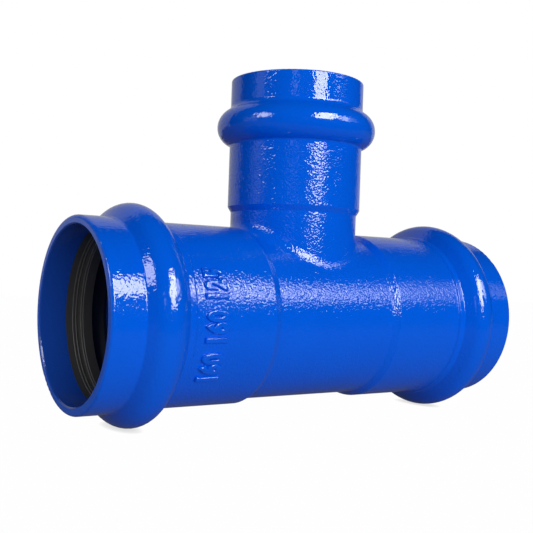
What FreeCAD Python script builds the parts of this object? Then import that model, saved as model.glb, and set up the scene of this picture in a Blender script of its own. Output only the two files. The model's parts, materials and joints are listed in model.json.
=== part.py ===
"""Reducing socket tee: one coated iron casting with two run sockets for 160 mm pipe and one
branch socket for 125 mm pipe, and a rubber lip seal ring seated in each socket.

Millimetres. X lies along the run, +Z up the branch, and the origin is where the two axes meet.
A socket is drawn by the corners of its section: s runs inward from the mouth, r out from the axis,
and round is the radius of the arc that takes off the corner.
"""

import FreeCAD
import Part
import math
import os
from collections import namedtuple

FULL_TURN = 360.0
HALF_TURN = 180.0
QUARTER_TURN = 90.0
HALF = 0.5
PLACE_TOL = 0.05  # how near an edge lies to the surfaces that it is looked for on
CHECK_TOL = 1e-6

Corner = namedtuple("Corner", "s r round", defaults=(0.0,))

Socket = namedtuple(
    "Socket",
    "pipe_r play mouth_wall rim_round lead_in "
    "crown_at crown_rise front_arc back_arc front_slope back_slope front_round back_round "
    "barrel_wall step_past step_len step_round body_wall foot_clear "
    "groove_wall seat_at seat_step depth stop_ledge stop_round "
    "collar_len collar_rise collar_round",
    defaults=(0.0, 0.0, 0.0),
)

# Run sockets, both alike.
RUN = Socket(
    pipe_r=80.0,
    play=0.7,  # pipe outside to socket bore
    mouth_wall=8.3,
    rim_round=3.0,
    lead_in=1.2,
    crown_at=52.0,  # mouth to the top of the bulge
    crown_rise=22.0,  # top of the bulge above the socket bore
    front_arc=19.5,
    back_arc=17.0,
    front_slope=50.0,
    back_slope=50.0,
    front_round=2.0,
    back_round=1.6,
    collar_len=6.0,
    collar_rise=1.6,  # above the barrel, and falls back at 45 degrees
    collar_round=0.9,
    barrel_wall=6.1,
    step_past=12.0,  # pipe stop to the step down to the body
    step_len=8.0,
    step_round=2.0,
    body_wall=7.0,
    foot_clear=3.0,  # outside of the neck to the foot of the step
    groove_wall=7.0,
    seat_at=26.5,  # front shoulder of the seal's seat
    seat_step=3.5,
    depth=150.0,  # mouth to the pipe stop
    stop_ledge=5.1,
    stop_round=2.0,
)

# Branch socket.
BRANCH = Socket(
    pipe_r=62.5,
    play=0.55,
    mouth_wall=5.35,
    rim_round=1.8,
    lead_in=1.0,
    crown_at=49.0,
    crown_rise=18.65,
    front_arc=19.6,
    back_arc=18.7,
    front_slope=59.0,
    back_slope=64.0,
    front_round=6.0,
    back_round=2.6,
    barrel_wall=5.25,
    step_past=6.6,
    step_len=5.5,
    step_round=1.2,
    body_wall=6.4,
    foot_clear=21.3,
    groove_wall=5.8,
    seat_at=24.0,
    seat_step=2.6,
    depth=124.0,
    stop_ledge=4.45,
    stop_round=2.0,
)

SADDLE_ROUND = 6.0  # outside, where the neck grows out of the run
STEP_ROOT = 1.8  # steps' cones reach this share of their length, into the body
STEP_FOOT_ROUND = 1.5
CROTCH_ROUND = 4.0  # inside, where the branch waterway opens into the run

# Seal ring section, for either size of socket.
SEAL_GAP = 0.1  # rubber to the walls of its seat
SEAL_FLUSH = 0.05  # inner face outside the socket bore
LIP_END = 27.0  # front shoulder to the tip of the lip
LIP_THICK = 3.2
RIDGE_AT = 0.33  # share of the lip's length to the first ridge
GROOVE_AT = 0.46
RIDGE2_AT = 0.6
GROOVE_DEPTH = 2.2
POCKET_TOP = 6.0  # rubber left over the pocket behind the lip
POCKET_FOOT = 3.0  # width of the ring's heel behind the pocket
POCKET_NOSE = 10.0  # pocket's floor, ahead of the lip's tip


def bore_r(socket):
    return socket.pipe_r + socket.play


def mouth_r(socket):
    return bore_r(socket) + socket.mouth_wall


def crown_r(socket):
    return bore_r(socket) + socket.crown_rise


def barrel_r(socket):
    return bore_r(socket) + socket.barrel_wall


def throat_r(socket):
    """Waterway behind the pipe stop."""
    return bore_r(socket) - socket.stop_ledge


def body_r(socket):
    return throat_r(socket) + socket.body_wall


def seat_r(socket):
    return bore_r(socket) + socket.seat_step


def step_at(socket):
    return socket.depth + socket.step_past


def half_body(socket, crossing):
    """Centre of the tee to the top of a socket's step, which clears the arm that crosses it."""
    return body_r(crossing) + socket.foot_clear + socket.step_len


RUN_REACH = half_body(RUN, BRANCH) + step_at(RUN)
BRANCH_REACH = half_body(BRANCH, RUN) + step_at(BRANCH)


def spot(corner):
    """A corner's place as a point. The mouth lies at x = 0."""
    return FreeCAD.Vector(-corner.s, 0, -corner.r)


def taken_off(before, corner, after):
    """Start, middle and end of a corner's arc, or the corner alone where it stays sharp."""
    point = spot(corner)
    if not corner.round:
        return [point]
    back = (spot(before) - point).normalize()
    ahead = (spot(after) - point).normalize()
    half = back.getAngle(ahead) * HALF
    cut = corner.round / math.tan(half)
    sag = corner.round / math.sin(half) - corner.round
    return [point + back * cut, point + (back + ahead).normalize() * sag, point + ahead * cut]


def turn(corners):
    """The solid that a closed section makes about the socket's axis."""
    before = corners[-1:] + corners[:-1]
    after = corners[1:] + corners[:1]
    bends = [taken_off(*three) for three in zip(before, corners, after)]
    edges = []
    for bend, following in zip(bends, bends[1:] + bends[:1]):
        if len(bend) > 1:
            edges.append(Part.Arc(*bend).toShape())
        if bend[-1].distanceToPoint(following[0]) > CHECK_TOL:
            edges.append(Part.LineSegment(bend[-1], following[0]).toShape())
    face = Part.Face(Part.Wire(edges))
    return face.revolve(FreeCAD.Vector(), FreeCAD.Vector(1, 0, 0), FULL_TURN)


def bulge(socket, inset, front, back):
    """Corners over the bulge, inset below its outer face, between a front and a back (r, round).

    The arcs of its two crown corners meet at the top.
    """
    front_slope = math.radians(socket.front_slope)
    back_slope = math.radians(socket.back_slope)
    top = crown_r(socket) - inset
    front_arc = socket.front_arc - inset
    back_arc = socket.back_arc - inset
    rise = Corner(socket.crown_at - front_arc * math.tan(front_slope * HALF), top, front_arc)
    fall = Corner(socket.crown_at + back_arc * math.tan(back_slope * HALF), top, back_arc)
    foot = Corner(rise.s - (top - front[0]) / math.tan(front_slope), *front)
    heel = Corner(fall.s + (top - back[0]) / math.tan(back_slope), *back)
    return [foot, rise, fall, heel]


def collar(socket, heel):
    """Corners of the raised collar behind the bulge, ending on the barrel."""
    if not socket.collar_rise:
        return []
    end = heel.s + socket.collar_len
    return [
        Corner(end, heel.r, socket.collar_round),
        Corner(end + socket.collar_rise, barrel_r(socket), socket.collar_round),
    ]


def sleeve(socket):
    """Outside of one socket from its mouth to its step, filled. The step's cone runs on into the body."""
    rim = Corner(0, mouth_r(socket), socket.rim_round)
    heel_r = barrel_r(socket) + socket.collar_rise
    over = bulge(socket, 0, (rim.r, socket.front_round), (heel_r, socket.back_round))
    step = Corner(step_at(socket), barrel_r(socket), socket.step_round)
    fall = barrel_r(socket) - body_r(socket)
    root = Corner(step.s + socket.step_len * STEP_ROOT, step.r - fall * STEP_ROOT)
    corners = [Corner(0, 0), rim] + over + collar(socket, over[-1])
    return turn(corners + [step, root, Corner(root.s, 0)])


def waterway_arm(socket, reach):
    """Space inside one socket: mouth, seal seat, pipe bore, stop and waterway."""
    bore = bore_r(socket)
    seat = seat_r(socket)
    throat = throat_r(socket)
    mouth = [Corner(0, 0), Corner(0, bore + socket.lead_in), Corner(socket.lead_in, bore)]
    groove = [Corner(socket.seat_at, bore), Corner(socket.seat_at, seat)]
    groove += bulge(socket, socket.groove_wall, (seat,), (bore,))
    stop = [Corner(socket.depth, bore), Corner(socket.depth, throat, socket.stop_round)]
    return turn(mouth + groove + stop + [Corner(reach, throat), Corner(reach, 0)])


def seal_ring(socket):
    """Rubber ring that fills its seat, with two ridges, a lip and the pocket that water presses open."""
    front = socket.seat_at + SEAL_GAP
    inner = bore_r(socket) + SEAL_FLUSH
    outer = seat_r(socket) - SEAL_GAP
    over = bulge(socket, socket.groove_wall + SEAL_GAP, (outer,), (inner,))
    pocket = crown_r(socket) - socket.groove_wall - POCKET_TOP
    tip = front + LIP_END
    under = [
        Corner(over[-1].s - POCKET_FOOT, inner),
        Corner(socket.crown_at, pocket),
        Corner(tip - POCKET_NOSE, inner + LIP_THICK),
        Corner(tip, inner + LIP_THICK * HALF),
        Corner(tip, inner),
        Corner(front + LIP_END * RIDGE2_AT, inner),
        Corner(front + LIP_END * GROOVE_AT, inner + GROOVE_DEPTH),
        Corner(front + LIP_END * RIDGE_AT, inner),
    ]
    return turn([Corner(front, inner), Corner(front, outer)] + over + under)


def to_mouth(shape, reach):
    """Moves a socket's shape from its own mouth to the run's right-hand end."""
    placed = shape.copy()
    placed.translate(FreeCAD.Vector(reach, 0, 0))
    return placed


def to_left(shape):
    placed = shape.copy()
    placed.rotate(FreeCAD.Vector(), FreeCAD.Vector(0, 0, 1), HALF_TURN)
    return placed


def to_branch(shape):
    placed = shape.copy()
    placed.rotate(FreeCAD.Vector(), FreeCAD.Vector(0, 1, 0), -QUARTER_TURN)
    return placed


def near(value, target):
    return abs(value - target) < PLACE_TOL


def edges_where(shape, fits):
    """Edges whose middle point passes a test."""
    found = []
    for edge in shape.Edges:
        span = edge.LastParameter - edge.FirstParameter
        if fits(edge.valueAt(edge.FirstParameter + span * HALF)):
            found.append(edge)
    if not found:
        raise ValueError("no edge there")
    return found


def meeting_edges(shape, run_r, branch_r):
    """Edges where the branch cylinder meets the run cylinder."""
    return edges_where(
        shape,
        lambda p: near(math.hypot(p.y, p.z), run_r) and near(math.hypot(p.x, p.y), branch_r),
    )


def step_feet(shape):
    """Edges where the steps meet the run's middle and the neck."""
    run_x = half_body(RUN, BRANCH) - RUN.step_len
    branch_z = half_body(BRANCH, RUN) - BRANCH.step_len
    on_run = edges_where(
        shape,
        lambda p: near(math.hypot(p.y, p.z), body_r(RUN)) and near(abs(p.x), run_x),
    )
    on_branch = edges_where(
        shape,
        lambda p: near(math.hypot(p.x, p.y), body_r(BRANCH)) and near(p.z, branch_z),
    )
    return on_run + on_branch


def crossed_bars():
    """Filled body: the run's middle and the neck, with the saddle between them rounded."""
    half = half_body(RUN, BRANCH)
    neck_end = half_body(BRANCH, RUN)
    run = Part.makeCylinder(body_r(RUN), half + half, FreeCAD.Vector(-half, 0, 0), FreeCAD.Vector(1, 0, 0))
    neck = Part.makeCylinder(body_r(BRANCH), neck_end)
    joined = run.fuse(neck).removeSplitter()
    return joined.makeFillet(SADDLE_ROUND, meeting_edges(joined, body_r(RUN), body_r(BRANCH)))


def outside():
    """Filled outside of the whole casting."""
    run = to_mouth(sleeve(RUN), RUN_REACH)
    branch = to_branch(to_mouth(sleeve(BRANCH), BRANCH_REACH))
    joined = crossed_bars().fuse([run, to_left(run), branch])
    return joined.makeFillet(STEP_FOOT_ROUND, step_feet(joined))


def inside():
    """Waterway, sockets and seal seats of the whole casting."""
    right = to_mouth(waterway_arm(RUN, RUN_REACH), RUN_REACH)
    run = right.fuse(to_left(right)).removeSplitter()
    branch = to_branch(to_mouth(waterway_arm(BRANCH, BRANCH_REACH), BRANCH_REACH))
    joined = run.fuse(branch).removeSplitter()
    return joined.makeFillet(CROTCH_ROUND, meeting_edges(joined, throat_r(RUN), throat_r(BRANCH)))


def one_solid(shape, name):
    """The single sound solid in a shape."""
    if len(shape.Solids) != 1:
        raise ValueError("%s has %d solids" % (name, len(shape.Solids)))
    solid = shape.Solids[0]
    if not solid.isValid() or solid.Volume < CHECK_TOL:
        raise ValueError("%s is not a sound solid" % name)
    return solid


def nodes():
    run_ring = to_mouth(seal_ring(RUN), RUN_REACH)
    branch_ring = to_mouth(seal_ring(BRANCH), BRANCH_REACH)
    return {
        "tee_body": outside().cut(inside()),
        "seal_ring_run_left": to_left(run_ring),
        "seal_ring_run_right": run_ring,
        "seal_ring_branch": to_branch(branch_ring),
    }


def export(shapes):
    os.makedirs("parts", exist_ok=True)
    for name, shape in shapes.items():
        one_solid(shape, name).exportStep("parts/%s.step" % name)


export(nodes())
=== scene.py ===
"""Looks of the reducing socket tee: coated casting, seal rings, raised size marks and a pale studio."""

import json
import math

import bmesh
import bpy
from bpy.props import FloatProperty, FloatVectorProperty, StringProperty
from mathutils import Matrix, Vector


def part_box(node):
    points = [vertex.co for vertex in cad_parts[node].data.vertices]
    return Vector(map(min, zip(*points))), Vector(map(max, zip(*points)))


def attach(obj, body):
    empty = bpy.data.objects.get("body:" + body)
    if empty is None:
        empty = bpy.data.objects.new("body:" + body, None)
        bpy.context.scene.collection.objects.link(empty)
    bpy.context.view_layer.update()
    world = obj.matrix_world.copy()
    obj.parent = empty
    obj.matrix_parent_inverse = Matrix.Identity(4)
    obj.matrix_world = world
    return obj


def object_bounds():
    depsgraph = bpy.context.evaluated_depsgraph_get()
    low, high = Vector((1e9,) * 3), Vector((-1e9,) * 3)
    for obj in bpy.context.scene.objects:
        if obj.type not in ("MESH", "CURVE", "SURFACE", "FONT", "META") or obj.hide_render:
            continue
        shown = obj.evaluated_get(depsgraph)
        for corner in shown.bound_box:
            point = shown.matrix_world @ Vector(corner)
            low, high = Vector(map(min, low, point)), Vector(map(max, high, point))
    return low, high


bl_info = {
    "name": "Reducing socket tee",
    "version": (1, 0, 0),
    "blender": (4, 5, 0),
    "location": "View3D > Sidebar > Socket tee",
    "description": "Finishes, size marks and studio of a coated reducing socket tee",
    "category": "Object",
}

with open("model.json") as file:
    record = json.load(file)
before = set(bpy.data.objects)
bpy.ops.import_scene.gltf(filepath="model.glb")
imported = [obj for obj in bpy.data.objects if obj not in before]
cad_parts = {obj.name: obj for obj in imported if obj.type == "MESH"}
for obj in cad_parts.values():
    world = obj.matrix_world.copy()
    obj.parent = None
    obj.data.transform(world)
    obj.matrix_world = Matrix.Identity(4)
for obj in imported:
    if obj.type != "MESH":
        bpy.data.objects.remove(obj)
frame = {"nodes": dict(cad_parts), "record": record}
CAD_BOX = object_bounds()

MM = 0.001
WHITE = (1.0, 1.0, 1.0, 1.0)

# Camera as fitted to the outline of the tee: place in mm, angles in degrees, focal length in pixels.
CAMERA_AT = (-513.7, -711.4, 45.3)
CAMERA_YAW = 34.15
CAMERA_PITCH = 0.26
CAMERA_ROLL = 1.98
CAMERA_FOCAL = 843.4
CAMERA_REACH = 100.0
FRAME_PX = 533.0
SENSOR_MM = 36.0

# A colour mix's sockets, which share their names with the node's other kinds of input.
MIX_A = 6
MIX_B = 7
MIX_RESULT = 2

RUN_MOUTH_X = CAD_BOX[1][0]
BRANCH_MOUTH_Z = CAD_BOX[1][2]

# Outer radii of the casting: the barrels, the body between them, and the neck.
BARREL_R = 86.8 * MM
BODY_R = 82.6 * MM
NECK_R = 65.0 * MM

# Along the run and up the branch, the grained skin of the casting passes into the smoother skin of the
# bulges and the mouths between these places.
RUN_SMOOTH_FROM = 156 * MM
RUN_SMOOTH_TO = 168 * MM
BRANCH_SMOOTH_FROM = 163 * MM
BRANCH_SMOOTH_TO = 176 * MM

# The finish of a mouth's ground face blends into the coat between these depths behind it.
FACE_BLEND_FROM = 0.9 * MM
FACE_BLEND_TO = 0.2 * MM

# The painted shade in the run's sockets starts this far along the run, and reaches this far past the bore.
SOCKET_FROM = 100 * MM
BORE_MARGIN = 1 * MM

DRIFT_SIZE = 62.5 * MM  # over which the coat's shade drifts
HAZE_SIZE = 40 * MM  # over which the rubber's gloss drifts
TEXTURE_SIZE = MM / 0.9  # of the mould's matt texture, drawn coarser than the real one so that it shows
TEXTURE_DEPTH = 0.03 * MM
NOISE_LOW = 0.3  # nearly all of a noise lies between these
NOISE_HIGH = 0.7
COAT_IOR = 1.55
RUBBER_IOR = 1.52
RUBBER_ROUGH_FROM = 0.3
RUBBER_ROUGH_TO = 0.44
HEEL_ROUGH = 0.8

SHARP_ANGLE = 40  # degrees between two faces, past which their edge stays crisp

# The saddle's blend has steps round the neck and rows across: those of its arc, one inside the wall, and
# the arc's first row again.
SADDLE_STEPS = 128
SADDLE_ARC = 10
SADDLE_ROWS = SADDLE_ARC + 2
SADDLE_SINK = 0.1 * MM  # the arc's edges lie this deep in the walls
SADDLE_ROOT = 1.5 * MM  # and the inner row this deep
SADDLE_JOIN = 0.001 * MM  # points nearer to each other than this become one

FIGURE_SHARE = 0.7  # height of a figure in its typeface, as a share of the type's size
MARKS_CURVE_STEPS = 8
MARKS_BEVEL_STEPS = 3
MARKS_STEP = 2 * MM  # between the cuts that let the figures bend round the barrel
MARKS_JOIN = 0.01 * MM  # points nearer to each other than this become one

# From a ring's front shoulder to the tip of its lip, and to each bead on it.
SEAL_LIP_END = 27 * MM
SEAL_BEADS_AT = (7 * MM, 10.2 * MM, 15.4 * MM, 17.6 * MM)
BEAD_SINK = 1 / 3  # how deep a bead's centre lies in the lip, as a share of its radius
BEAD_SIDES = 12
BEAD_STEPS = 128

# Each seal ring, with the socket that it seals and the way that socket faces.
SEALS = (
    ("seal_ring_run_left", "socket_run_left", (-1, 0, 0)),
    ("seal_ring_run_right", "socket_run_right", (1, 0, 0)),
    ("seal_ring_branch", "socket_branch", (0, 0, 1)),
)
SOCKET_R = {mount["name"]: mount["dims"].get("r_mm", 0) * MM for mount in frame["record"]["mounts"]}

# The soft boxes stand this far from the tee's centre. Each one spans these degrees, seen from there: its
# left and right edges, turned rightwards from the tee's front, and its lower and upper edges.
LAMP_DISTANCE = 4.0
GLOWS = (
    ("key_glow", (-32, 30), (-4, 22)),
    ("side_glow", (-97, -65), (0, 32)),
    ("back_glow", (150, 200), (10, 50)),
    ("top_glow", (-75, -25), (38, 78)),
)

# The parts of the key light's reflection, some at a share of its radiance.
KEY_SHINES = (
    ("low_shine", (-5, 15), (10, 20), "low_share"),
    ("key_shine", (-11, 17), (20, 28), None),
    ("high_shine", (-4, 17), (28, 42), None),
    ("middle_shine", (17, 31), (24, 43), "middle_share"),
    ("right_shine", (31, 46), (18, 33), "right_share"),
    ("far_shine", (46, 60), (18, 32), "far_share"),
)
OTHER_SHINES = (
    ("front_shine", (-43, -37), (8, 20)),
    ("side_shine", (-95, -74), (21, 34)),
    ("back_shine", (-112, -93), (0, 23)),
)

# The paper under and behind the tee: opposite corners in metres, and the share that the camera sees white.
FLOOR_Z = CAD_BOX[0][2] - 0.1 * MM
FLOOR_CORNERS = ((-6, -0.5, FLOOR_Z), (6, 2.9, FLOOR_Z))
FLOOR_SEEN = 0.99
WALL_CORNERS = ((-1.9, 3, FLOOR_Z), (10, 3, 5))
WALL_SEEN = 1.0
PAPER_GREY = 0.5

# The floor's shadow: how far it reaches from the tee, and how bright it stays where it is deepest.
SHADOW_REACH = 6 * MM
SHADOW_DEPTH = 0.7
SHADOW_SAMPLES = 16


def linear(hex_colour):
    """An sRGB hex value as linear red, green and blue."""
    parts = [int(hex_colour[i : i + 2], 16) / 255 for i in (1, 3, 5)]
    return tuple(p / 12.92 if p <= 0.04045 else ((p + 0.055) / 1.055) ** 2.4 for p in parts)


def opaque(colour):
    return (*colour, 1.0)


def node(tree, kind, links=(), sockets=(), **settings):
    """Adds a node and returns its outputs.

    links are pairs of socket and output, sockets are pairs of socket and value, and settings are the
    node's own attributes.
    """
    new = tree.nodes.new(kind)
    for name, value in settings.items():
        setattr(new, name, value)
    for socket, value in sockets:
        new.inputs[socket].default_value = value
    for socket, output in links:
        tree.links.new(output, new.inputs[socket])
    return new.outputs


def empty_material(name):
    material = bpy.data.materials.new(name)
    material.use_nodes = True
    material.node_tree.nodes.clear()
    return material


def smooth_share(tree, along, up):
    """1 on the bulges and mouths, 0 on the barrels, the body and the neck."""
    run = node(
        tree,
        "ShaderNodeMapRange",
        [("Value", along)],
        [("From Min", RUN_SMOOTH_FROM), ("From Max", RUN_SMOOTH_TO)],
        interpolation_type="SMOOTHSTEP",
    )
    branch = node(
        tree,
        "ShaderNodeMapRange",
        [("Value", up)],
        [("From Min", BRANCH_SMOOTH_FROM), ("From Max", BRANCH_SMOOTH_TO)],
        interpolation_type="SMOOTHSTEP",
    )
    return node(tree, "ShaderNodeMath", [(0, run[0]), (1, branch[0])], operation="MAXIMUM")[0]


def ground_share(tree, along, up):
    """1 on the flat ground faces of the mouths."""
    run = node(
        tree,
        "ShaderNodeMapRange",
        [("Value", along)],
        [("From Min", RUN_MOUTH_X - FACE_BLEND_FROM), ("From Max", RUN_MOUTH_X - FACE_BLEND_TO)],
    )
    branch = node(
        tree,
        "ShaderNodeMapRange",
        [("Value", up)],
        [("From Min", BRANCH_MOUTH_Z - FACE_BLEND_FROM), ("From Max", BRANCH_MOUTH_Z - FACE_BLEND_TO)],
    )
    return node(tree, "ShaderNodeMath", [(0, run[0]), (1, branch[0])], operation="MAXIMUM")[0]


def bore_shade_share(tree, axes, along):
    """1 in the bores of the run's sockets, where the coat is painted darker as shade in the recess."""
    across = node(tree, "ShaderNodeCombineXYZ", [("Y", axes["Y"]), ("Z", axes["Z"])])
    radius = node(tree, "ShaderNodeVectorMath", [(0, across[0])], operation="LENGTH")["Value"]
    wall = SOCKET_R["socket_run_left"] + BORE_MARGIN
    within = node(tree, "ShaderNodeMath", [(0, radius)], [(1, wall)], operation="LESS_THAN")[0]
    socket = node(tree, "ShaderNodeMath", [(0, along)], [(1, SOCKET_FROM)], operation="GREATER_THAN")[0]
    return node(tree, "ShaderNodeMath", [(0, within), (1, socket)], operation="MULTIPLY")[0]


def coat_relief(tree, place, smooth, finish):
    """Normal of the coat: broad orange peel, and cast grain that is coarser where the skin isn't smooth."""
    peel = node(
        tree,
        "ShaderNodeTexNoise",
        [("Vector", place)],
        [("Scale", 1 / finish.peel_size), ("Detail", 1.0)],
    )
    grain = node(
        tree,
        "ShaderNodeTexNoise",
        [("Vector", place)],
        [("Scale", 1 / finish.grain_size), ("Detail", 0.4), ("Roughness", 0.5)],
    )
    depth = node(
        tree,
        "ShaderNodeMapRange",
        [("Value", smooth)],
        [("To Min", finish.grain_depth), ("To Max", finish.smooth_depth)],
    )
    low = node(
        tree,
        "ShaderNodeBump",
        [("Height", peel[0])],
        [("Strength", 1.0), ("Distance", finish.peel_depth)],
    )
    return node(
        tree,
        "ShaderNodeBump",
        [("Height", grain[0]), ("Distance", depth[0]), ("Normal", low[0])],
        [("Strength", 1.0)],
    )[0]


def coated_iron(finish):
    """Ductile iron under gloss fusion-bonded epoxy.

    The powder melts and levels on the hot casting, so it shines like a thick gloss paint with a fine
    orange peel. The grain of the sand-cast skin shows through on the barrels, the body and the neck, the
    bulges and mouths are smoother, and the ground faces of the mouths are duller.
    """
    material = empty_material("fusion_bonded_epoxy")
    tree = material.node_tree
    place = node(tree, "ShaderNodeTexCoord")["Object"]
    axes = node(tree, "ShaderNodeSeparateXYZ", [(0, place)])
    along = node(tree, "ShaderNodeMath", [(0, axes["X"])], operation="ABSOLUTE")[0]
    smooth = smooth_share(tree, along, axes["Z"])
    ground = ground_share(tree, along, axes["Z"])
    relief = coat_relief(tree, place, smooth, finish)

    # The shade drifts a little, where the coat lies thicker.
    drift = node(
        tree,
        "ShaderNodeTexNoise",
        [("Vector", place)],
        [("Scale", 1 / DRIFT_SIZE), ("Detail", 1.0)],
    )
    coat = node(
        tree,
        "ShaderNodeMix",
        [("Factor", drift[0])],
        [(MIX_A, opaque(finish.coat_dark)), (MIX_B, opaque(finish.coat_colour))],
        data_type="RGBA",
    )
    colour = node(
        tree,
        "ShaderNodeMix",
        [("Factor", ground), (MIX_A, coat[MIX_RESULT])],
        [(MIX_B, opaque(finish.face_colour))],
        data_type="RGBA",
    )
    # The run's sockets are painted darker inside: painted shade in the recess.
    inner = node(
        tree,
        "ShaderNodeMix",
        [("Factor", bore_shade_share(tree, axes, along)), (MIX_A, colour[MIX_RESULT])],
        [(MIX_B, opaque(finish.bore_shade_colour))],
        data_type="RGBA",
    )
    rough = node(
        tree,
        "ShaderNodeMapRange",
        [("Value", ground)],
        [("To Min", finish.coat_roughness), ("To Max", finish.face_roughness)],
    )
    shader = node(
        tree,
        "ShaderNodeBsdfPrincipled",
        [("Base Color", inner[MIX_RESULT]), ("Roughness", rough[0]), ("Normal", relief)],
        [("IOR", COAT_IOR)],
    )
    node(tree, "ShaderNodeOutputMaterial", [("Surface", shader[0])])
    return material


def lip_share(tree, axes):
    """1 on the lips of the seal rings, 0 on the heels behind them, which carry the painted shade."""
    along = node(tree, "ShaderNodeMath", [(0, axes["X"])], operation="ABSOLUTE")[0]
    run_tip = abs(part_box("seal_ring_run_left")[0][0]) - SEAL_LIP_END
    branch_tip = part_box("seal_ring_branch")[1][2] - SEAL_LIP_END
    run = node(tree, "ShaderNodeMath", [(0, along)], [(1, run_tip)], operation="GREATER_THAN")[0]
    branch = node(tree, "ShaderNodeMath", [(0, axes["Z"])], [(1, branch_tip)], operation="GREATER_THAN")[0]
    return node(tree, "ShaderNodeMath", [(0, run), (1, branch)], operation="MAXIMUM")[0]


def seal_rubber(name, lip_colour, finish):
    """Moulded EPDM rubber.

    The lips are dark and satin, with the faint matt texture of the mould and a gloss that varies a
    little. The heel behind them is painted a navy black, as painted shade in the recess, and is dull.
    """
    material = empty_material(name)
    tree = material.node_tree
    place = node(tree, "ShaderNodeTexCoord")["Object"]
    axes = node(tree, "ShaderNodeSeparateXYZ", [(0, place)])
    lips = lip_share(tree, axes)
    # The heels get a navy black: painted shade of the recess behind the lips.
    colour = node(
        tree,
        "ShaderNodeMix",
        [("Factor", lips)],
        [(MIX_A, opaque(finish.heel_shade_colour)), (MIX_B, opaque(lip_colour))],
        data_type="RGBA",
    )
    texture = node(
        tree,
        "ShaderNodeTexNoise",
        [("Vector", place)],
        [("Scale", 1 / TEXTURE_SIZE), ("Detail", 2.0)],
    )
    bump = node(
        tree,
        "ShaderNodeBump",
        [("Height", texture[0])],
        [("Strength", 1.0), ("Distance", TEXTURE_DEPTH)],
    )
    haze = node(
        tree,
        "ShaderNodeTexNoise",
        [("Vector", place)],
        [("Scale", 1 / HAZE_SIZE), ("Detail", 3.0)],
    )
    rough = node(
        tree,
        "ShaderNodeMapRange",
        [("Value", haze[0])],
        [
            ("From Min", NOISE_LOW),
            ("From Max", NOISE_HIGH),
            ("To Min", RUBBER_ROUGH_FROM),
            ("To Max", RUBBER_ROUGH_TO),
        ],
    )
    dull = node(
        tree,
        "ShaderNodeMapRange",
        [("Value", lips), ("To Max", rough[0])],
        [("To Min", HEEL_ROUGH)],
    )
    shader = node(
        tree,
        "ShaderNodeBsdfPrincipled",
        [("Base Color", colour[MIX_RESULT]), ("Roughness", dull[0]), ("Normal", bump[0])],
        [("IOR", RUBBER_IOR)],
    )
    node(tree, "ShaderNodeOutputMaterial", [("Surface", shader[0])])
    return material


class TeeFinish(bpy.types.PropertyGroup):
    coat_colour: FloatVectorProperty(
        name="Coat colour",
        description="Epoxy coat",
        subtype="COLOR",
        size=3,
        min=0,
        max=1,
        default=linear("#0063EC"),
    )
    coat_dark: FloatVectorProperty(
        name="Coat shade",
        description="Epoxy where it lies thicker",
        subtype="COLOR",
        size=3,
        min=0,
        max=1,
        default=linear("#005DE3"),
    )
    face_colour: FloatVectorProperty(
        name="Mouth face colour",
        description="Coat on the ground mouth faces",
        subtype="COLOR",
        size=3,
        min=0,
        max=1,
        default=linear("#2068F0"),
    )
    # Painted shade: a darker blue for the coat inside the run's sockets.
    bore_shade_colour: FloatVectorProperty(
        name="Bore colour",
        description="Coat in the bores of the run's sockets",
        subtype="COLOR",
        size=3,
        min=0,
        max=1,
        default=linear("#1A4AB0"),
    )
    rubber_colour: FloatVectorProperty(
        name="Rubber colour",
        description="Lips of the seal rings",
        subtype="COLOR",
        size=3,
        min=0,
        max=1,
        default=linear("#444443"),
    )
    # Painted highlight: the beads are painted paler to stand for light on their crests.
    bead_highlight_colour: FloatVectorProperty(
        name="Bead colour",
        description="Beads on the lips, rubbed lighter",
        subtype="COLOR",
        size=3,
        min=0,
        max=1,
        default=linear("#6A6A68"),
    )
    # Painted shade: navy black on the heels, for the shaded recess behind the lips.
    heel_shade_colour: FloatVectorProperty(
        name="Heel colour",
        description="Seal rings behind their lips",
        subtype="COLOR",
        size=3,
        min=0,
        max=1,
        default=linear("#010A26"),
    )
    coat_roughness: FloatProperty(
        name="Coat roughness", description="0 is a mirror", default=0.045, min=0, max=1
    )
    face_roughness: FloatProperty(
        name="Face roughness", description="Ground mouth faces", default=0.24, min=0, max=1
    )
    peel_size: FloatProperty(
        name="Orange peel size",
        description="Width of one wave",
        unit="LENGTH",
        default=0.0035,
        min=0.0005,
    )
    peel_depth: FloatProperty(
        name="Orange peel depth",
        description="Height of a wave",
        unit="LENGTH",
        default=0.00025,
        min=0,
    )
    grain_size: FloatProperty(
        name="Cast grain size",
        description="Width of a grain",
        unit="LENGTH",
        default=0.0018,
        min=0.0002,
    )
    grain_depth: FloatProperty(
        name="Cast grain depth",
        description="Height of a grain on the barrels",
        unit="LENGTH",
        default=0.00035,
        min=0,
    )
    smooth_depth: FloatProperty(
        name="Smooth skin depth",
        description="Height of a grain on bulges",
        unit="LENGTH",
        default=0.00012,
        min=0,
    )


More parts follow.
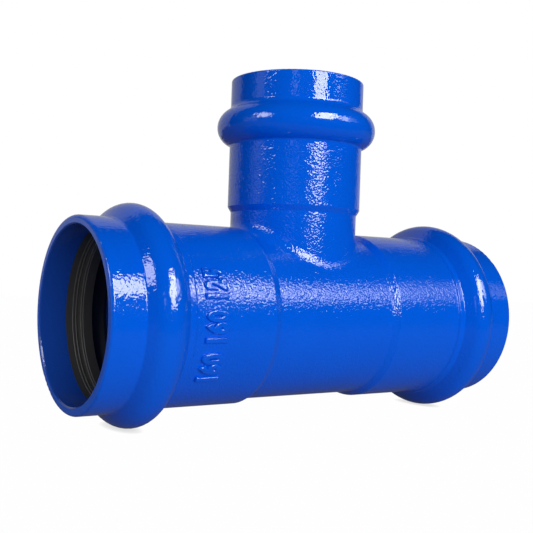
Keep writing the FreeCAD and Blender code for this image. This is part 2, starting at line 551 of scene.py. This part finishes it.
class TeeMarks(bpy.types.PropertyGroup):
    text: StringProperty(name="Size marks", description="Sizes of the three sockets", default="160 160 125")
    height: FloatProperty(
        name="Figure height",
        description="Height of a figure",
        unit="LENGTH",
        default=0.0185,
        min=0.005,
    )
    squeeze: FloatProperty(
        name="Squeeze", description="Width of the figures as a share", default=0.7, min=0.2, max=1
    )
    weight: FloatProperty(
        name="Stroke weight",
        description="Added to either side of a stroke",
        unit="LENGTH",
        default=0.0004,
    )
    spacing: FloatProperty(
        name="Letter spacing", description="1 is the typeface's own", default=1.14, min=0.5
    )
    relief: FloatProperty(
        name="Relief",
        description="How far a figure stands proud",
        unit="LENGTH",
        default=0.0027,
        min=0.0002,
    )
    bevel: FloatProperty(
        name="Bevel", description="Rounded edge of a stroke", unit="LENGTH", default=0.002, min=0
    )
    centre_x: FloatProperty(
        name="Place on the run",
        description="Middle of the figures along the run",
        unit="LENGTH",
        default=-0.139,
    )
    centre_angle: FloatProperty(
        name="Turn round the run",
        description="Middle of the figures, from the front, upwards",
        subtype="ANGLE",
        default=math.radians(-4),
    )


class TeeForms(bpy.types.PropertyGroup):
    saddle_round: FloatProperty(
        name="Saddle round",
        description="Blend at the front and back of the neck",
        unit="LENGTH",
        default=0.02,
        min=0.007,
    )
    saddle_side: FloatProperty(
        name="Saddle side",
        description="Blend at the sides of the neck",
        unit="LENGTH",
        default=0.012,
        min=0.0065,
    )
    bead_r: FloatProperty(
        name="Bead radius",
        description="Fine beads round a seal's lip",
        unit="LENGTH",
        default=0.0006,
        min=0.0003,
    )


class TeeStage(bpy.types.PropertyGroup):
    key_glow: FloatProperty(
        name="Key light", description="Radiance of the front soft box", default=5.15, min=0
    )
    key_shine: FloatProperty(
        name="Key reflection", description="Its radiance in the gloss", default=16.5, min=0
    )
    low_share: FloatProperty(
        name="Low share", description="Its lower part, as a share", default=0.8, min=0, max=1
    )
    middle_share: FloatProperty(
        name="Middle share", description="Its middle part, as a share", default=0.78, min=0, max=1
    )
    right_share: FloatProperty(
        name="Right share", description="Its right part, as a share", default=0.37, min=0, max=1
    )
    far_share: FloatProperty(
        name="Far share", description="Its far right part, as a share", default=0.06, min=0, max=1
    )
    side_glow: FloatProperty(
        name="Side light", description="Radiance of the left soft box", default=1.0, min=0
    )
    side_shine: FloatProperty(
        name="Side reflection", description="Its radiance in the gloss", default=8.0, min=0
    )
    front_shine: FloatProperty(
        name="Front glint", description="Narrow panel by the camera", default=1.2, min=0
    )
    back_shine: FloatProperty(
        name="Back reflection",
        description="Dim panel at the back left in the gloss",
        default=0.5,
        min=0,
    )
    back_glow: FloatProperty(
        name="Back light", description="Radiance of the soft box behind", default=1.0, min=0
    )
    top_glow: FloatProperty(
        name="Top light", description="Radiance of the overhead soft box", default=0.7, min=0
    )
    room_glow: FloatProperty(name="Room light", description="Light of the pale room", default=0.12, min=0)
    room_shine: FloatProperty(name="Room reflection", description="Room in the gloss", default=0.01, min=0)
    floor_shine: FloatProperty(
        name="Floor reflection", description="Floor in the gloss", default=0.09, min=0
    )
    wall_shine: FloatProperty(
        name="Wall reflection", description="Backdrop in the gloss", default=0.5, min=0
    )


def set_material(piece, material):
    piece.data.materials.clear()
    piece.data.materials.append(material)


class TEE_OT_coat(bpy.types.Operator):
    """Coats the casting in blue epoxy"""

    bl_idname = "tee.coat"
    bl_label = "Coat the casting"

    def execute(self, context):
        set_material(frame["nodes"]["tee_body"], coated_iron(context.scene.tee_finish))
        return {"FINISHED"}


class TEE_OT_rubber(bpy.types.Operator):
    """Gives the seal rings their rubber"""

    bl_idname = "tee.rubber"
    bl_label = "Rubber of the seal rings"

    def execute(self, context):
        finish = context.scene.tee_finish
        rubber = seal_rubber("moulded_epdm_rubber", finish.rubber_colour, finish)
        for name, piece in frame["nodes"].items():
            if name.startswith("seal_ring"):
                set_material(piece, rubber)
        return {"FINISHED"}


def finished_piece(scene, name, build, material):
    """Turns a bmesh into a smooth piece that rides on the tee."""
    bmesh.ops.recalc_face_normals(build, faces=build.faces)
    mesh = bpy.data.meshes.new(name)
    build.to_mesh(mesh)
    build.free()
    mesh.shade_smooth()
    mesh.set_sharp_from_angle(angle=math.radians(SHARP_ANGLE))
    piece = bpy.data.objects.new(name, mesh)
    scene.collection.objects.link(piece)
    set_material(piece, material)
    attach(piece, "root")


def saddle_point(turn, share, forms):
    """A point of the saddle's blend: turn runs round the neck, share from 0 on the neck to 1 on the run.

    The blend is the hollow that a ball leaves where it rolls round the neck and touches both walls, and the
    ball is larger at the front and the back.
    """
    ball = forms.saddle_side + (forms.saddle_round - forms.saddle_side) * math.sin(turn) ** 2
    middle = (NECK_R + ball) * Vector((math.cos(turn), math.sin(turn), 0))
    middle.z = math.sqrt((BODY_R + ball) ** 2 - middle.y**2)
    to_neck = -Vector((math.cos(turn), math.sin(turn), 0))
    to_run = -Vector((0, middle.y, middle.z)).normalized()
    sink = SADDLE_SINK if share in (0, 1) else 0
    return middle + (ball + sink) * to_neck.slerp(to_run, share)


def crease_point(turn):
    """A point inside the wall, below the line where the neck meets the run."""
    point = (NECK_R - SADDLE_ROOT) * Vector((math.cos(turn), math.sin(turn), 0))
    point.z = math.sqrt((BODY_R - SADDLE_ROOT) ** 2 - point.y**2)
    return point


class TEE_OT_saddle(bpy.types.Operator):
    """Fills the saddle between the neck and the run with the casting's soft blend"""

    bl_idname = "tee.saddle"
    bl_label = "Soft saddle"

    def execute(self, context):
        forms = context.scene.tee_forms
        build = bmesh.new()
        bmesh.ops.create_grid(build, x_segments=SADDLE_STEPS, y_segments=SADDLE_ROWS, size=0.5)
        for vert in build.verts:
            turn = math.tau * (vert.co.x + 0.5)
            row = round((vert.co.y + 0.5) * SADDLE_ROWS)
            if row == SADDLE_ARC + 1:
                vert.co = crease_point(turn)
            else:
                vert.co = saddle_point(turn, row % SADDLE_ROWS / SADDLE_ARC, forms)
        bmesh.ops.remove_doubles(build, verts=build.verts, dist=SADDLE_JOIN)
        material = frame["nodes"]["tee_body"].data.materials[0]
        finished_piece(context.scene, "saddle_blend", build, material)
        return {"FINISHED"}


class TEE_OT_seal_beads(bpy.types.Operator):
    """Moulds four fine beads round the lip of each seal ring"""

    bl_idname = "tee.seal_beads"
    bl_label = "Beads of the seal rings"

    def execute(self, context):
        radius = context.scene.tee_forms.bead_r
        finish = context.scene.tee_finish

        # The beads are painted paler, as a painted highlight along their crests.
        painted = seal_rubber("epdm_beads_painted_highlight", finish.bead_highlight_colour, finish)
        for ring, socket, way in SEALS:
            way = Vector(way)
            front = max(Vector(corner).dot(way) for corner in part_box(ring))
            build = bmesh.new()
            for place in SEAL_BEADS_AT:
                centre = (SOCKET_R[socket] + radius * BEAD_SINK, 0, front - place)
                circle = bmesh.ops.create_circle(build, segments=BEAD_SIDES, radius=radius)["verts"]
                bmesh.ops.rotate(build, matrix=Matrix.Rotation(math.pi / 2, 3, "X"), verts=circle)
                bmesh.ops.translate(build, vec=centre, verts=circle)
                edges = list({edge for vert in circle for edge in vert.link_edges})
                bmesh.ops.spin(
                    build,
                    geom=circle + edges,
                    cent=(0, 0, 0),
                    axis=(0, 0, 1),
                    angle=math.tau,
                    steps=BEAD_STEPS,
                    use_merge=True,
                )
            turned = Vector((0, 0, 1)).rotation_difference(way).to_matrix()
            bmesh.ops.rotate(build, matrix=turned, verts=build.verts)
            finished_piece(context.scene, ring.replace("ring", "beads"), build, painted)
        return {"FINISHED"}


def flat_figures(context, marks):
    """The figures as a flat mesh, their middle at the origin, reading along X."""
    curve = bpy.data.curves.new("size_marks_text", "FONT")
    curve.body = marks.text
    curve.size = marks.height / FIGURE_SHARE
    curve.align_x = "CENTER"
    curve.offset = marks.weight
    curve.space_character = marks.spacing
    curve.extrude = marks.relief - marks.bevel
    curve.bevel_depth = marks.bevel
    curve.bevel_resolution = MARKS_BEVEL_STEPS
    curve.resolution_u = MARKS_CURVE_STEPS
    text = bpy.data.objects.new("size_marks_text", curve)
    context.scene.collection.objects.link(text)
    mesh = bpy.data.meshes.new_from_object(text.evaluated_get(context.evaluated_depsgraph_get()))
    bpy.data.objects.remove(text)
    return mesh


class TEE_OT_size_marks(bpy.types.Operator):
    """Casts the pipe sizes on the left barrel in raised figures"""

    bl_idname = "tee.size_marks"
    bl_label = "Raised size marks"

    def execute(self, context):
        marks = context.scene.tee_marks
        build = bmesh.new()
        build.from_mesh(flat_figures(context, marks))
        bmesh.ops.remove_doubles(build, verts=build.verts, dist=MARKS_JOIN)
        bmesh.ops.scale(build, vec=(marks.squeeze, 1, 1), verts=build.verts)
        half = max(abs(vert.co.x) for vert in build.verts)
        cuts = int(half / MARKS_STEP)
        for cut in range(-cuts, cuts + 1):
            geometry = build.verts[:] + build.edges[:] + build.faces[:]
            place = (cut * MARKS_STEP, 0, 0)
            bmesh.ops.bisect_plane(build, geom=geometry, plane_co=place, plane_no=(1, 0, 0))
        middle = marks.height / 2
        for vert in build.verts:
            angle = marks.centre_angle + vert.co.x / BARREL_R
            out = BARREL_R + vert.co.z
            x = marks.centre_x - (vert.co.y - middle)
            vert.co = (x, -out * math.cos(angle), out * math.sin(angle))
        material = frame["nodes"]["tee_body"].data.materials[0]
        finished_piece(context.scene, "size_marks", build, material)
        return {"FINISHED"}


def panel_light(scene, name, azimuths, elevations, radiance, in_gloss):
    """A flat soft box that faces the tee and spans these degrees as seen from its centre.

    It is seen either only in reflections or only as light on surfaces.
    """
    turn = math.radians(sum(azimuths) / 2)
    rise = math.radians(sum(elevations) / 2)
    half_turn = math.radians(azimuths[1] - azimuths[0]) / 2
    half_rise = math.radians(elevations[1] - elevations[0]) / 2
    light = bpy.data.lights.new(name, "AREA")
    light.shape = "RECTANGLE"
    light.size = 2 * LAMP_DISTANCE * math.cos(rise) * math.tan(half_turn)
    light.size_y = 2 * LAMP_DISTANCE * math.tan(half_rise)
    light.energy = radiance * math.pi * light.size * light.size_y
    lamp = bpy.data.objects.new(name, light)
    way = Vector((math.sin(turn) * math.cos(rise), -math.cos(turn) * math.cos(rise), math.sin(rise)))
    facing = way.to_track_quat("Z", "Y").to_matrix().to_4x4()
    lamp.matrix_world = Matrix.Translation(way * LAMP_DISTANCE) @ facing
    lamp.visible_diffuse = not in_gloss
    lamp.visible_glossy = in_gloss
    scene.collection.objects.link(lamp)


def paper(name, shine, seen):
    """Pale seamless paper: white to the camera but for the shadow near the tee, and grey in the gloss."""
    material = empty_material(name)
    tree = material.node_tree
    rays = node(tree, "ShaderNodeLightPath")
    grey_paper = opaque((PAPER_GREY, PAPER_GREY, PAPER_GREY))
    sheet = node(tree, "ShaderNodeBsdfDiffuse", (), [("Color", grey_paper)])
    near = node(
        tree,
        "ShaderNodeAmbientOcclusion",
        (),
        [("Distance", SHADOW_REACH)],
        samples=SHADOW_SAMPLES,
    )
    lit = node(
        tree,
        "ShaderNodeMapRange",
        [("Value", near["AO"])],
        [("To Min", SHADOW_DEPTH), ("To Max", 1.0)],
    )
    white = node(tree, "ShaderNodeEmission", [("Strength", lit[0])])
    grey = node(tree, "ShaderNodeEmission", (), [("Strength", shine)])
    share = node(tree, "ShaderNodeMath", [(0, rays["Is Camera Ray"])], [(1, seen)], operation="MULTIPLY")
    pale = node(tree, "ShaderNodeMixShader", [(0, share[0]), (1, sheet[0]), (2, white[0])])
    both = node(tree, "ShaderNodeMixShader", [(0, rays["Is Glossy Ray"]), (1, pale[0]), (2, grey[0])])
    node(tree, "ShaderNodeOutputMaterial", [("Surface", both[0])])
    return material


def sheet_piece(scene, name, corners, material):
    """A flat sheet of the studio between two opposite corners, lying or upright."""
    low, high = (Vector(corner) for corner in corners)
    build = bmesh.new()
    bmesh.ops.create_grid(build, x_segments=1, y_segments=1, size=0.5)
    if low.y == high.y:
        bmesh.ops.rotate(build, matrix=Matrix.Rotation(math.pi / 2, 3, "X"), verts=build.verts)
    spans = [(b - a) or 1.0 for a, b in zip(low, high)]
    bmesh.ops.scale(build, vec=spans, verts=build.verts)
    bmesh.ops.translate(build, verts=build.verts, vec=(low + high) / 2)
    mesh = bpy.data.meshes.new(name)
    build.to_mesh(mesh)
    build.free()
    piece = bpy.data.objects.new(name, mesh)
    scene.collection.objects.link(piece)
    set_material(piece, material)


def pale_room(stage):
    """White to the camera, and a dim room to everything else."""
    world = bpy.data.worlds.new("pale_room")
    world.use_nodes = True
    tree = world.node_tree
    tree.nodes.clear()
    rays = node(tree, "ShaderNodeLightPath")
    dim = node(
        tree,
        "ShaderNodeMapRange",
        [("Value", rays["Is Glossy Ray"])],
        [("To Min", stage.room_glow), ("To Max", stage.room_shine)],
    )
    seen = node(
        tree,
        "ShaderNodeMath",
        [(0, rays["Is Camera Ray"]), (1, rays["Is Transmission Ray"])],
        operation="MAXIMUM",
    )
    strength = node(tree, "ShaderNodeMapRange", [("Value", seen[0]), ("To Min", dim[0])], [("To Max", 1.0)])
    sky = node(tree, "ShaderNodeBackground", [("Strength", strength[0])], [("Color", WHITE)])
    node(tree, "ShaderNodeOutputWorld", [("Surface", sky[0])])
    return world


def fitted_camera(scene):
    yaw = math.radians(CAMERA_YAW)
    pitch = math.radians(CAMERA_PITCH)
    roll = math.radians(CAMERA_ROLL)
    look = Vector((math.sin(yaw) * math.cos(pitch), math.cos(yaw) * math.cos(pitch), math.sin(pitch)))
    right = Vector((math.cos(yaw), -math.sin(yaw), 0))
    up = right.cross(look)
    side = right * math.cos(roll) + up * math.sin(roll)
    head = up * math.cos(roll) - right * math.sin(roll)
    camera = bpy.data.cameras.new("camera")
    camera.sensor_width = SENSOR_MM
    camera.lens = CAMERA_FOCAL / FRAME_PX * SENSOR_MM
    camera.clip_end = CAMERA_REACH
    eye = bpy.data.objects.new("camera", camera)
    turn = Matrix((side, head, -look)).transposed().to_4x4()
    eye.matrix_world = Matrix.Translation(Vector(CAMERA_AT) * MM) @ turn
    scene.collection.objects.link(eye)
    scene.camera = eye


class TEE_OT_stage(bpy.types.Operator):
    """Sets up the floor, the soft lights, the room and the camera"""

    bl_idname = "tee.stage"
    bl_label = "Studio"

    def execute(self, context):
        scene = context.scene
        stage = scene.tee_stage
        floor = paper("seamless_paper_floor", stage.floor_shine, FLOOR_SEEN)
        wall = paper("seamless_paper_wall", stage.wall_shine, WALL_SEEN)
        sheet_piece(scene, "floor", FLOOR_CORNERS, floor)
        sheet_piece(scene, "wall", WALL_CORNERS, wall)

        for name, azimuths, elevations in GLOWS:
            panel_light(scene, name, azimuths, elevations, getattr(stage, name), False)
        for name, azimuths, elevations, share in KEY_SHINES:
            radiance = stage.key_shine * (getattr(stage, share) if share else 1.0)
            panel_light(scene, name, azimuths, elevations, radiance, True)
        for name, azimuths, elevations in OTHER_SHINES:
            panel_light(scene, name, azimuths, elevations, getattr(stage, name), True)

        scene.world = pale_room(stage)
        fitted_camera(scene)
        scene.view_settings.view_transform = "Standard"
        return {"FINISHED"}


class TEE_PT_panel(bpy.types.Panel):
    bl_idname = "TEE_PT_panel"
    bl_label = "Socket tee"
    bl_space_type = "VIEW_3D"
    bl_region_type = "UI"
    bl_category = "Socket tee"

    def draw(self, context):
        scene = context.scene
        for group in (scene.tee_finish, scene.tee_forms, scene.tee_marks, scene.tee_stage):
            box = self.layout.box()
            for name in group.__annotations__:
                box.prop(group, name)
        for step in STEPS:
            self.layout.operator(step.bl_idname)


STEPS = (TEE_OT_coat, TEE_OT_rubber, TEE_OT_saddle, TEE_OT_seal_beads, TEE_OT_size_marks, TEE_OT_stage)
CLASSES = (TeeFinish, TeeForms, TeeMarks, TeeStage, *STEPS, TEE_PT_panel)


def register():
    for item in CLASSES:
        bpy.utils.register_class(item)
    bpy.types.Scene.tee_finish = bpy.props.PointerProperty(type=TeeFinish)
    bpy.types.Scene.tee_forms = bpy.props.PointerProperty(type=TeeForms)
    bpy.types.Scene.tee_marks = bpy.props.PointerProperty(type=TeeMarks)
    bpy.types.Scene.tee_stage = bpy.props.PointerProperty(type=TeeStage)


def unregister():
    del bpy.types.Scene.tee_stage
    del bpy.types.Scene.tee_marks
    del bpy.types.Scene.tee_forms
    del bpy.types.Scene.tee_finish
    for item in reversed(CLASSES):
        bpy.utils.unregister_class(item)


def main():
    register()
    bpy.ops.tee.coat()
    bpy.ops.tee.rubber()
    bpy.ops.tee.saddle()
    bpy.ops.tee.seal_beads()
    bpy.ops.tee.size_marks()
    bpy.ops.tee.stage()


if __name__ == "__main__":
    main()
